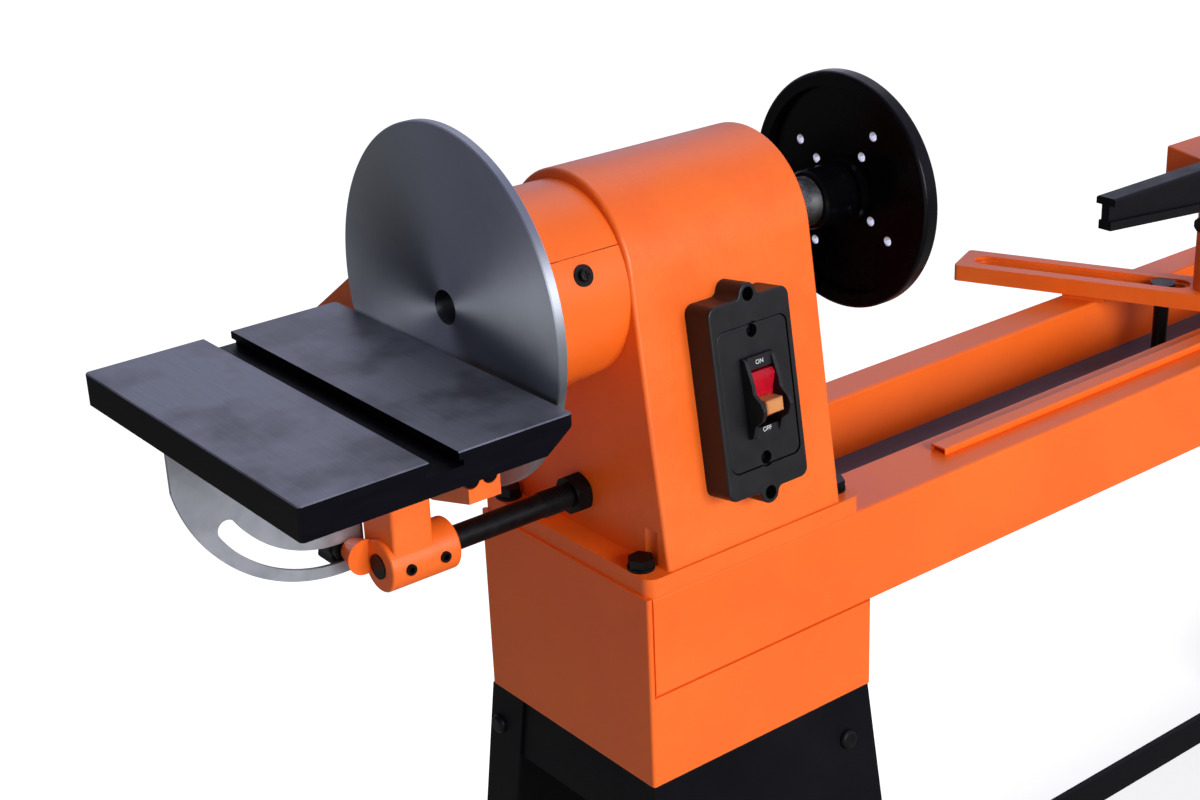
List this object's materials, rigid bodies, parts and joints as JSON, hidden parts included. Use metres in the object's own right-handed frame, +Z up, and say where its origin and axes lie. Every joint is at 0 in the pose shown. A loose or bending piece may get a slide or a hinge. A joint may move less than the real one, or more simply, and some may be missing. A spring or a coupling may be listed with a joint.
{
  "type": "copy wood lathe",
  "caption": "Copy wood lathe with tubular bed on a sheet stand, outboard sanding disc with tilting table, faceplate, slotted tool-rest banjo, tailstock and template copier.",
  "frame": {"origin": "floor under the middle of the machine's outline", "axes": "+X from the sanding disc to the tailstock, +Y to the back, +Z up"},
  "size_m": [1.8064, 0.4312, 1.117],
  "materials": {
    "orange_paint": "semi-gloss powder coat over sheet and castings",
    "black_paint": "satin powder coat on sheet steel",
    "gloss_black": "gloss enamel on cast iron",
    "cast_iron": "ground and oiled",
    "disc_aluminium": "turned",
    "zinc_plate": "zinc plated",
    "steel": "turned and ground",
    "black_oxide": "black oxide on steel",
    "black_plastic": "fine moulded grain",
    "red_plastic": "moulded",
    "yellow_plastic": "moulded",
    "rubber": "moulded",
    "motor_grey": "enamel"
  },
  "bodies": {
    "frame": {"left_stand_front_panel": "black_paint", "left_stand_rear_panel": "black_paint", "left_stand_cross_plates": "black_paint", "right_stand_front_panel": "black_paint", "right_stand_rear_panel": "black_paint", "right_stand_cross_plates": "black_paint", "tie_bar": "black_paint", "stand_feet": "rubber", "stand_bolts": "black_oxide", "front_rail": "orange_paint", "rear_rail": "orange_paint", "left_base_box": "orange_paint", "right_base_box": "orange_paint", "guide_bar": "black_paint", "guide_strip": "orange_paint", "headstock": "orange_paint", "headstock_bolts": "black_oxide", "spindle_bearings": "steel", "guard_upper": "orange_paint", "guard_lower": "orange_paint", "cover_screws": "black_oxide", "motor_body": "motor_grey", "v_belt": "rubber", "switch_box": "black_plastic", "switch_plate": "black_plastic", "support_rod": "black_oxide", "rod_nut": "black_oxide"},
    "spindle": {"spindle": "steel", "sanding_disc": "disc_aluminium", "faceplate": "gloss_black", "spindle_pulley": "disc_aluminium"},
    "motor_rotor": {"motor_shaft": "steel", "motor_pulley": "disc_aluminium"},
    "table_bracket": {"table_bracket": "orange_paint", "bracket_setscrews": "black_oxide"},
    "tilt_knob": {"tilt_knob": "black_plastic"},
    "sanding_table": {"sanding_table": "cast_iron", "table_trunnion": "orange_paint", "tilt_quadrant": "zinc_plate", "tilt_pivot_pin": "steel"},
    "switch_paddle": {"switch_paddle": "red_plastic"},
    "safety_key": {"safety_key": "yellow_plastic"},
    "banjo_clamp_plate": {"banjo_clamp_plate": "black_oxide"},
    "banjo_clamp_bolt": {"banjo_clamp_bolt": "black_oxide"},
    "banjo": {"banjo": "orange_paint"},
    "rest_collar": {"rest_collar": "steel"},
    "tool_rest": {"tool_rest": "gloss_black"},
    "rest_lock_knob": {"rest_lock_knob": "black_plastic"},
    "tailstock": {"tailstock_body": "orange_paint", "tailstock_clamp": "black_oxide"},
    "tailstock_lever": {"tailstock_lever": "black_oxide"},
    "quill": {"quill": "steel"},
    "live_center": {"live_center": "steel"},
    "handwheel": {"handwheel": "gloss_black"},
    "quill_lock_lever": {"quill_lock_lever": "black_oxide"},
    "copy_carriage": {"copy_carriage": "orange_paint"},
    "copy_slide": {"copy_slide": "steel", "follower": "steel"},
    "template_bracket_left": {"template_bracket_left": "orange_paint"},
    "template_bracket_right": {"template_bracket_right": "orange_paint"}
  },
  "joints": [
    {"name": "spindle_spin", "type": "hinge", "parent": "frame", "child": "spindle", "pos_m": [-0.62215, -0.00841, 0.992], "axis": [1, 0, 0], "continuous": true},
    {"name": "motor_spin", "type": "hinge", "parent": "frame", "child": "motor_rotor", "pos_m": [-0.62215, 0.15359, 0.885], "axis": [1, 0, 0], "continuous": true},
    {"name": "table_bracket_slide", "type": "slide", "parent": "frame", "child": "table_bracket", "axis": [1, 0, 0], "range_m": [-0.025, 0]},
    {"name": "table_tilt", "type": "hinge", "parent": "table_bracket", "child": "sanding_table", "pos_m": [-0.78615, -0.00841, 0.922], "axis": [0, -1, 0], "range_deg": [0, 45]},
    {"name": "tilt_knob_turn", "type": "hinge", "parent": "table_bracket", "child": "tilt_knob", "pos_m": [-0.77785, 0.02009, 0.82716], "axis": [0, 1, 0], "range_deg": [-180, 180]},
    {"name": "paddle_rock", "type": "hinge", "parent": "frame", "child": "switch_paddle", "pos_m": [-0.52115, -0.11007, 0.90714], "axis": [-1, 0, 0], "range_deg": [0, 18]},
    {"name": "key_pull", "type": "slide", "parent": "switch_paddle", "child": "safety_key", "axis": [0, -0.9883, 0.1523], "range_m": [0, 0.014]},
    {"name": "banjo_along_bed", "type": "slide", "parent": "frame", "child": "banjo_clamp_plate", "axis": [1, 0, 0], "range_m": [-0.24, 0.03]},
    {"name": "banjo_bolt_turn", "type": "hinge", "parent": "banjo_clamp_plate", "child": "banjo_clamp_bolt", "pos_m": [0.10085, 0.00959, 0.78], "axis": [0, 0, 1], "range_deg": [-180, 180]},
    {"name": "banjo_reach", "type": "slide", "parent": "banjo_clamp_plate", "child": "banjo", "axis": [0.4019, -0.9157, 0], "range_m": [-0.01, 0.09]},
    {"name": "rest_swivel", "type": "hinge", "parent": "banjo", "child": "rest_collar", "pos_m": [0.11994, -0.0339, 0.878], "axis": [0, 0, 1], "range_deg": [-20, 20]},
    {"name": "rest_height", "type": "slide", "parent": "rest_collar", "child": "tool_rest", "axis": [0, 0, 1], "range_m": [0, 0.045]},
    {"name": "rest_lock_turn", "type": "hinge", "parent": "banjo", "child": "rest_lock_knob", "pos_m": [0.09994, -0.0339, 0.87], "axis": [1, 0, 0], "range_deg": [-180, 180]},
    {"name": "tailstock_along_bed", "type": "slide", "parent": "frame", "child": "tailstock", "axis": [1, 0, 0], "range_m": [-0.09, 0.02]},
    {"name": "tailstock_lever_turn", "type": "hinge", "parent": "tailstock", "child": "tailstock_lever", "pos_m": [0.71885, 0.00259, 0.81], "axis": [0, 0, -1], "range_deg": [0, 80]},
    {"name": "handwheel_turn", "type": "hinge", "parent": "tailstock", "child": "handwheel", "pos_m": [0.86085, -0.00841, 0.992], "axis": [1, 0, 0], "range_deg": [0, 7200]},
    {"name": "quill_slide", "type": "slide", "parent": "tailstock", "child": "quill", "axis": [-1, 0, 0], "range_m": [0, 0.08]},
    {"name": "live_center_spin", "type": "hinge", "parent": "quill", "child": "live_center", "pos_m": [0.69785, -0.00841, 0.992], "axis": [1, 0, 0], "continuous": true},
    {"name": "quill_lock_turn", "type": "hinge", "parent": "tailstock", "child": "quill_lock_lever", "pos_m": [0.77785, -0.00841, 1.026], "axis": [0, 0, 1], "range_deg": [0, 60]},
    {"name": "carriage_along_bed", "type": "slide", "parent": "frame", "child": "copy_carriage", "axis": [1, 0, 0], "range_m": [-0.05, 0.09]},
    {"name": "cross_slide", "type": "slide", "parent": "copy_carriage", "child": "copy_slide", "axis": [0, 1, 0], "range_m": [0, 0.03]},
    {"name": "template_left_slide", "type": "slide", "parent": "frame", "child": "template_bracket_left", "axis": [1, 0, 0], "range_m": [-0.05, 0.03]},
    {"name": "template_right_slide", "type": "slide", "parent": "frame", "child": "template_bracket_right", "axis": [1, 0, 0], "range_m": [-0.05, 0.06]}
  ],
  "couplings": [
    {"joint": "motor_spin", "follows": "spindle_spin", "ratio": 1.2368},
    {"joint": "quill_slide", "follows": "handwheel_turn", "m_per_rad": 0.00063662}
  ]
}
